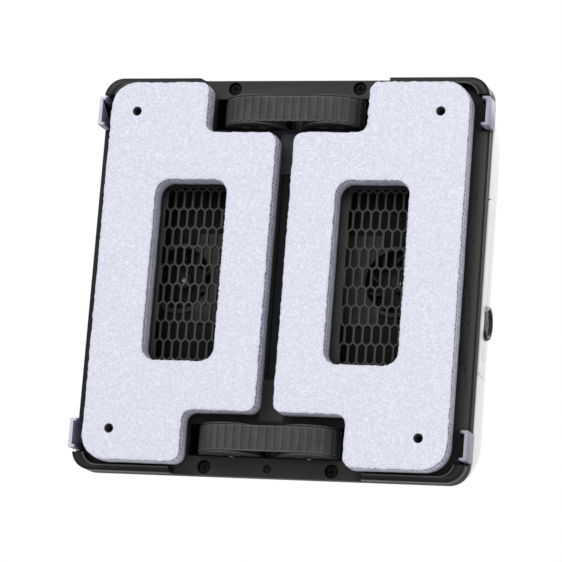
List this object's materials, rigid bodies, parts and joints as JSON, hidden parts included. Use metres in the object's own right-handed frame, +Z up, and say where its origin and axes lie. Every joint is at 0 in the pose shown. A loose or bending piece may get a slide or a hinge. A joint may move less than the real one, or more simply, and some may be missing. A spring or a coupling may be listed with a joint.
{
  "type": "window cleaning robot",
  "caption": "Square window cleaning robot: two C-shaped cloth pads, suction windows with honeycomb guards, belt tracks and edge tabs on a black under-plate with a rounded white shell.",
  "frame": {"origin": "centre of the cleaning face, on the plane that meets the glass", "axes": "X to the right and Z up as in the picture, Y from the glass into the robot"},
  "size_m": [0.2452, 0.096, 0.24],
  "materials": {
    "black_plastic": "satin",
    "white_plastic": "gloss",
    "seal": "matte",
    "grille": "matte",
    "grey_plastic": "matte",
    "cloth": "matte",
    "foam": "matte",
    "steel": "satin",
    "motor_can": "satin",
    "belt": "matte",
    "wheel": "satin",
    "impeller": "satin",
    "tank": "satin",
    "tab": "satin",
    "battery": "satin",
    "board": "satin",
    "button": "satin",
    "lens": "gloss"
  },
  "bodies": {
    "robot": {"chassis": "black_plastic", "corner_guards": "black_plastic", "track_wells": "black_plastic", "inner_bosses": "black_plastic", "shell": "white_plastic", "shell_seal": "seal", "grille_left": "grille", "grille_right": "grille", "inlet_plate_left": "grey_plastic", "inlet_plate_right": "grey_plastic", "carrier_screws": "steel", "pad_drive_motor": "motor_can", "track_belt_top": "belt", "track_belt_bottom": "belt", "wheel_axles": "steel", "track_motor_top": "motor_can", "track_motor_bottom": "motor_can", "fan_housing_left": "black_plastic", "fan_housing_right": "black_plastic", "fan_motor_left": "motor_can", "fan_motor_right": "motor_can", "bumper_springs": "steel", "bumper_switches": "black_plastic", "battery_pack": "battery", "main_board": "board", "indicator_lens": "lens", "power_inlet": "black_plastic", "rope_eye": "steel", "housing_screws": "steel", "edge_sensor": "lens"},
    "pad_left": {"pad_left": "cloth", "foam_left": "foam", "carrier_left": "grey_plastic"},
    "pad_right": {"pad_right": "cloth", "foam_right": "foam", "carrier_right": "grey_plastic"},
    "eccentric": {"eccentric": "steel"},
    "sprocket_top": {"sprocket_top": "steel"},
    "sprocket_bottom": {"sprocket_bottom": "steel"},
    "wheel_top_left": {"wheel_top_left": "wheel"},
    "wheel_top_right": {"wheel_top_right": "wheel"},
    "wheel_bottom_left": {"wheel_bottom_left": "wheel"},
    "wheel_bottom_right": {"wheel_bottom_right": "wheel"},
    "impeller_left": {"impeller_left": "impeller"},
    "impeller_right": {"impeller_right": "impeller"},
    "tank_left": {"water_tank_left": "tank", "tank_cap_left": "black_plastic", "tank_cover_left": "white_plastic", "nozzle_bezel_left": "black_plastic", "mist_disc_left": "grey_plastic"},
    "tank_right": {"water_tank_right": "tank", "tank_cap_right": "black_plastic", "tank_cover_right": "white_plastic", "nozzle_bezel_right": "black_plastic", "mist_disc_right": "grey_plastic"},
    "bumper_top_left": {"bumper_top_left": "tab"},
    "bumper_top_right": {"bumper_top_right": "tab"},
    "bumper_bottom_left": {"bumper_bottom_left": "tab"},
    "bumper_bottom_right": {"bumper_bottom_right": "tab"},
    "power_button": {"power_button": "button"}
  },
  "joints": [
    {"name": "pad_left_rub", "type": "slide", "parent": "robot", "child": "pad_left", "axis": [0, 0, 1], "range_m": [-0.001, 0.001]},
    {"name": "pad_right_rub", "type": "slide", "parent": "robot", "child": "pad_right", "axis": [0, 0, 1], "range_m": [-0.001, 0.001]},
    {"name": "eccentric_spin", "type": "hinge", "parent": "robot", "child": "eccentric", "pos_m": [0, 0.0275, 0], "axis": [0, 1, 0], "continuous": true},
    {"name": "sprocket_top_spin", "type": "hinge", "parent": "robot", "child": "sprocket_top", "pos_m": [0, 0.0335, 0.099], "axis": [0, 0, 1], "continuous": true},
    {"name": "wheel_top_left_spin", "type": "hinge", "parent": "robot", "child": "wheel_top_left", "pos_m": [-0.024, 0.0225, 0.099], "axis": [0, 0, 1], "continuous": true},
    {"name": "wheel_top_right_spin", "type": "hinge", "parent": "robot", "child": "wheel_top_right", "pos_m": [0.024, 0.0225, 0.099], "axis": [0, 0, 1], "continuous": true},
    {"name": "sprocket_bottom_spin", "type": "hinge", "parent": "robot", "child": "sprocket_bottom", "pos_m": [0, 0.0335, -0.099], "axis": [0, 0, 1], "continuous": true},
    {"name": "wheel_bottom_left_spin", "type": "hinge", "parent": "robot", "child": "wheel_bottom_left", "pos_m": [-0.024, 0.0225, -0.099], "axis": [0, 0, 1], "continuous": true},
    {"name": "wheel_bottom_right_spin", "type": "hinge", "parent": "robot", "child": "wheel_bottom_right", "pos_m": [0.024, 0.0225, -0.099], "axis": [0, 0, 1], "continuous": true},
    {"name": "impeller_left_spin", "type": "hinge", "parent": "robot", "child": "impeller_left", "pos_m": [-0.067, 0.036, 0], "axis": [0, 1, 0], "continuous": true},
    {"name": "impeller_right_spin", "type": "hinge", "parent": "robot", "child": "impeller_right", "pos_m": [0.067, 0.036, 0], "axis": [0, 1, 0], "continuous": true},
    {"name": "tank_left_draw", "type": "slide", "parent": "robot", "child": "tank_left", "axis": [-1, 0, 0], "range_m": [0, 0.018]},
    {"name": "tank_right_draw", "type": "slide", "parent": "robot", "child": "tank_right", "axis": [1, 0, 0], "range_m": [0, 0.018]},
    {"name": "bumper_top_left_press", "type": "slide", "parent": "robot", "child": "bumper_top_left", "axis": [1, 0, 0], "range_m": [0, 0.0015], "stiffness_N_per_m": 300, "springref_m": -0.0008},
    {"name": "bumper_top_right_press", "type": "slide", "parent": "robot", "child": "bumper_top_right", "axis": [-1, 0, 0], "range_m": [0, 0.0015], "stiffness_N_per_m": 300, "springref_m": -0.0008},
    {"name": "bumper_bottom_left_press", "type": "slide", "parent": "robot", "child": "bumper_bottom_left", "axis": [1, 0, 0], "range_m": [0, 0.0015], "stiffness_N_per_m": 300, "springref_m": -0.0008},
    {"name": "bumper_bottom_right_press", "type": "slide", "parent": "robot", "child": "bumper_bottom_right", "axis": [-1, 0, 0], "range_m": [0, 0.0015], "stiffness_N_per_m": 300, "springref_m": -0.0008},
    {"name": "power_button_press", "type": "slide", "parent": "robot", "child": "power_button", "axis": [0, -1, 0], "range_m": [0, 0.001], "stiffness_N_per_m": 900, "springref_m": -0.0006}
  ],
  "couplings": [
    {"joint": "pad_right_rub", "follows": "pad_left_rub", "ratio": -1},
    {"joint": "wheel_top_left_spin", "follows": "sprocket_top_spin", "ratio": 0.38202},
    {"joint": "wheel_top_right_spin", "follows": "sprocket_top_spin", "ratio": 0.38202},
    {"joint": "wheel_bottom_left_spin", "follows": "sprocket_bottom_spin", "ratio": 0.38202},
    {"joint": "wheel_bottom_right_spin", "follows": "sprocket_bottom_spin", "ratio": 0.38202}
  ]
}
